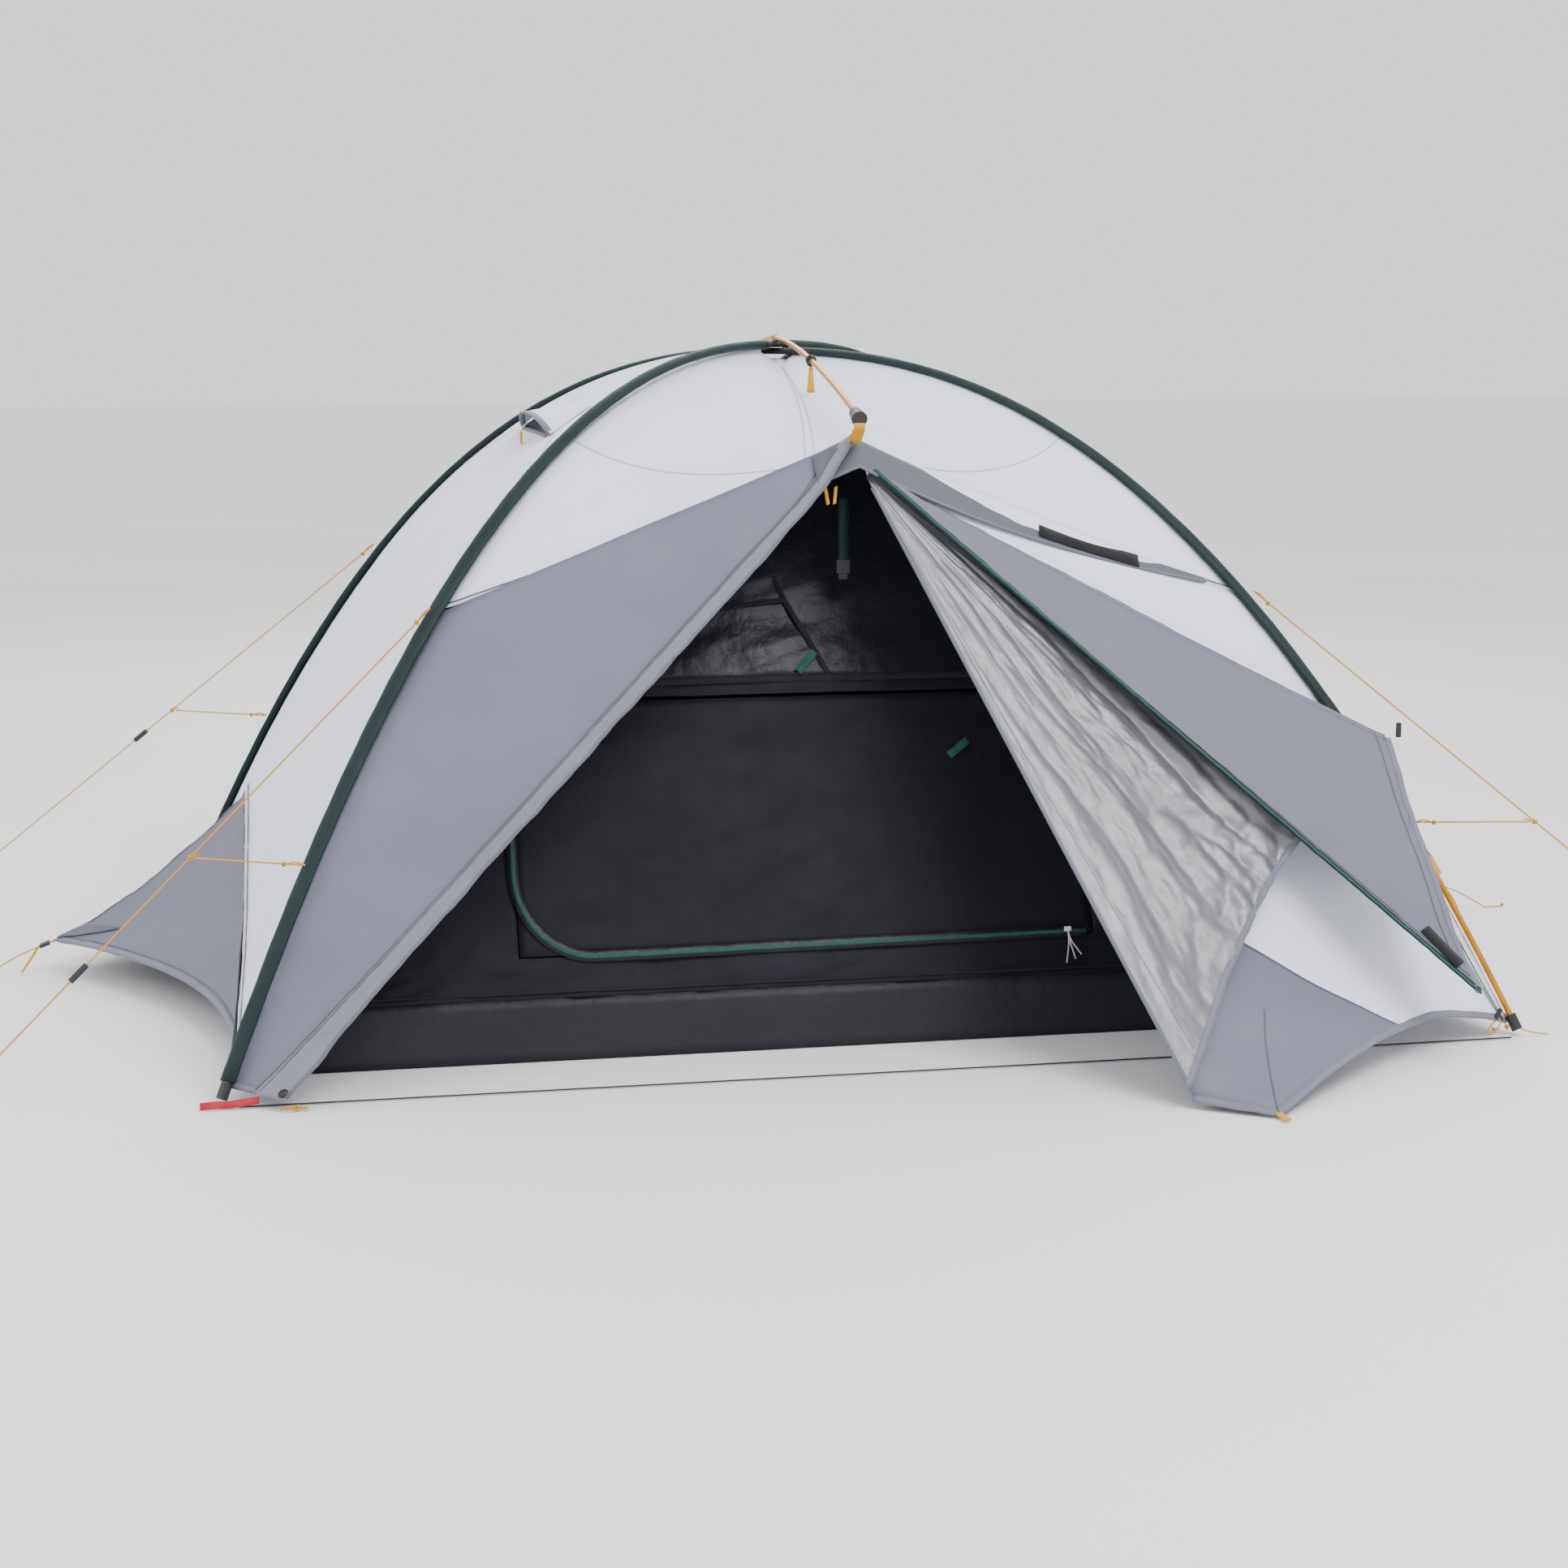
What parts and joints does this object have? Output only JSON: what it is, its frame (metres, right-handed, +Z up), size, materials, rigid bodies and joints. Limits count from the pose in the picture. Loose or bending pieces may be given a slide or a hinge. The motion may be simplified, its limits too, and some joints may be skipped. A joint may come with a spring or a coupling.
{
  "type": "dome tent",
  "caption": "Dome tent: crossed poles in outside sleeves, a ridge pole, a white and grey fly with two vestibules, one open, and a dark inner tent.",
  "frame": {"origin": "on the ground under the crown, at the middle of the floor's underside", "axes": "+Z up, +Y towards the rear vestibule, +X to the right seen from the open front door"},
  "size_m": [3.2247, 2.8272, 1.182],
  "materials": {
    "pole_gold": "gold anodised tube",
    "sleeve_green": "dark green woven polyester",
    "fly_white": "pale white ripstop with a silver coating inside",
    "fly_grey": "mid grey woven polyester",
    "door_silver": "silver coated inner face",
    "inner_charcoal": "charcoal polyester",
    "inner_mesh": "thin shiny charcoal fabric and mesh",
    "plastic_black": "matt black",
    "webbing_yellow": "yellow webbing",
    "cord_yellow": "braided yellow cord",
    "cord_black": "thin black braided cord",
    "zip_yellow": "yellow moulded slider with a cord pull"
  },
  "bodies": {
    "root": {"branch_front_left": "cord_yellow", "branch_front_right": "cord_yellow", "branch_rear_left": "cord_yellow", "branch_rear_right": "cord_yellow", "canopy_front": "fly_white", "canopy_left": "fly_white", "canopy_rear": "fly_white", "canopy_right": "fly_white", "eave_front": "fly_grey", "foot_cup_front_left": "plastic_black", "foot_cup_front_right": "plastic_black", "foot_cup_rear_left": "plastic_black", "foot_cup_rear_right": "plastic_black", "ground_cord": "cord_black", "guy_front_left": "cord_yellow", "guy_front_right": "cord_yellow", "guy_rear_left": "cord_yellow", "guy_rear_right": "cord_yellow", "inner_floor": "inner_charcoal", "inner_front_frame": "inner_charcoal", "inner_front_mesh": "inner_mesh", "inner_wall_left": "inner_charcoal", "inner_wall_rear": "inner_charcoal", "inner_wall_right": "inner_charcoal", "main_pole_a": "pole_gold", "main_pole_b": "pole_gold", "peak_tab_front": "webbing_yellow", "peak_tab_rear": "webbing_yellow", "ridge_cap_front": "plastic_black", "ridge_cap_rear": "plastic_black", "ridge_clip": "plastic_black", "ridge_pole": "pole_gold", "side_guy_left": "cord_yellow", "side_guy_right": "cord_yellow", "skirt_left": "fly_grey", "skirt_right": "fly_grey", "sleeve_front_left": "sleeve_green", "sleeve_front_right": "sleeve_green", "sleeve_rear_left": "sleeve_green", "sleeve_rear_right": "sleeve_green", "vent_hood_left": "fly_white", "vent_hood_right": "fly_white", "vestibule_front_left": "fly_grey", "vestibule_front_right": "fly_white", "vestibule_rear_left": "fly_white", "vestibule_rear_right": "fly_grey"},
    "door_inner": {"door_inner_leaf": "door_silver", "door_hook": "plastic_black"},
    "door_outer": {"door_outer_leaf": "fly_grey"},
    "rear_door_leaf": {"rear_door": "fly_grey"},
    "inner_door_leaf": {"inner_door": "inner_charcoal"},
    "front_slider": {"front_zip_slider": "zip_yellow"},
    "inner_slider": {"inner_zip_slider": "plastic_black"},
    "pull_tab": {"ridge_pull_tab": "webbing_yellow"},
    "strap": {"peak_strap": "sleeve_green"},
    "vent_prop": {"vent_prop_left": "zip_yellow"},
    "adjuster_fl": {"adjuster_front_left": "plastic_black"},
    "adjuster_rl": {"adjuster_rear_left": "plastic_black"},
    "adjuster_fr": {"adjuster_front_right": "plastic_black"},
    "adjuster_rr": {"adjuster_rear_right": "plastic_black"}
  },
  "joints": [
    {"name": "door_swing", "type": "hinge", "parent": "root", "child": "door_inner", "pos_m": [0.012, -0.672, 0.966], "axis": [0.3073, -0.5549, -0.7731], "range_deg": [0, 202]},
    {"name": "door_unfold", "type": "hinge", "parent": "door_inner", "child": "door_outer", "pos_m": [0.012, -0.672, 0.966], "axis": [0.8726, -0.173, -0.4567], "range_deg": [-176, 0]},
    {"name": "rear_door_swing", "type": "hinge", "parent": "root", "child": "rear_door_leaf", "pos_m": [0, 0.668, 0.97], "axis": [-0.3072, 0.5531, -0.7744], "range_deg": [-150, 0]},
    {"name": "inner_door_swing", "type": "hinge", "parent": "root", "child": "inner_door_leaf", "pos_m": [0, -0.61648, 0.576], "axis": [1, 0, 0], "range_deg": [0, 80]},
    {"name": "front_zip_slide", "type": "slide", "parent": "root", "child": "front_slider", "axis": [-0.6979, -0.2519, -0.6704], "range_m": [0, 1.191]},
    {"name": "inner_zip_slide", "type": "slide", "parent": "root", "child": "inner_slider", "axis": [1, 0, 0], "range_m": [-0.85, 0]},
    {"name": "pull_tab_swing", "type": "hinge", "parent": "root", "child": "pull_tab", "pos_m": [0, -0.32, 1.12964], "axis": [1, 0, 0], "range_deg": [-40, 40]},
    {"name": "strap_swing", "type": "hinge", "parent": "root", "child": "strap", "pos_m": [0, -0.585, 0.91], "axis": [1, 0, 0], "range_deg": [-6, 40]},
    {"name": "vent_prop_fold", "type": "hinge", "parent": "root", "child": "vent_prop", "pos_m": [-0.49576, -0.05, 0.982], "axis": [0, 1, 0], "range_deg": [-60, 0]},
    {"name": "adjuster_slide_fl", "type": "slide", "parent": "root", "child": "adjuster_fl", "axis": [-0.6974, -0.3292, -0.6366], "range_m": [-0.12, 0.1]},
    {"name": "adjuster_slide_rl", "type": "slide", "parent": "root", "child": "adjuster_rl", "axis": [-0.7048, 0.3631, -0.6094], "range_m": [-0.07, 0.1]},
    {"name": "adjuster_slide_fr", "type": "slide", "parent": "root", "child": "adjuster_fr", "axis": [0.6208, -0.5204, -0.5863], "range_m": [-0.12, 0.1]},
    {"name": "adjuster_slide_rr", "type": "slide", "parent": "root", "child": "adjuster_rr", "axis": [0.7048, 0.3631, -0.6094], "range_m": [-0.07, 0.1]}
  ],
  "couplings": [
    {"joint": "door_unfold", "follows": "door_swing", "ratio": -0.8688}
  ]
}
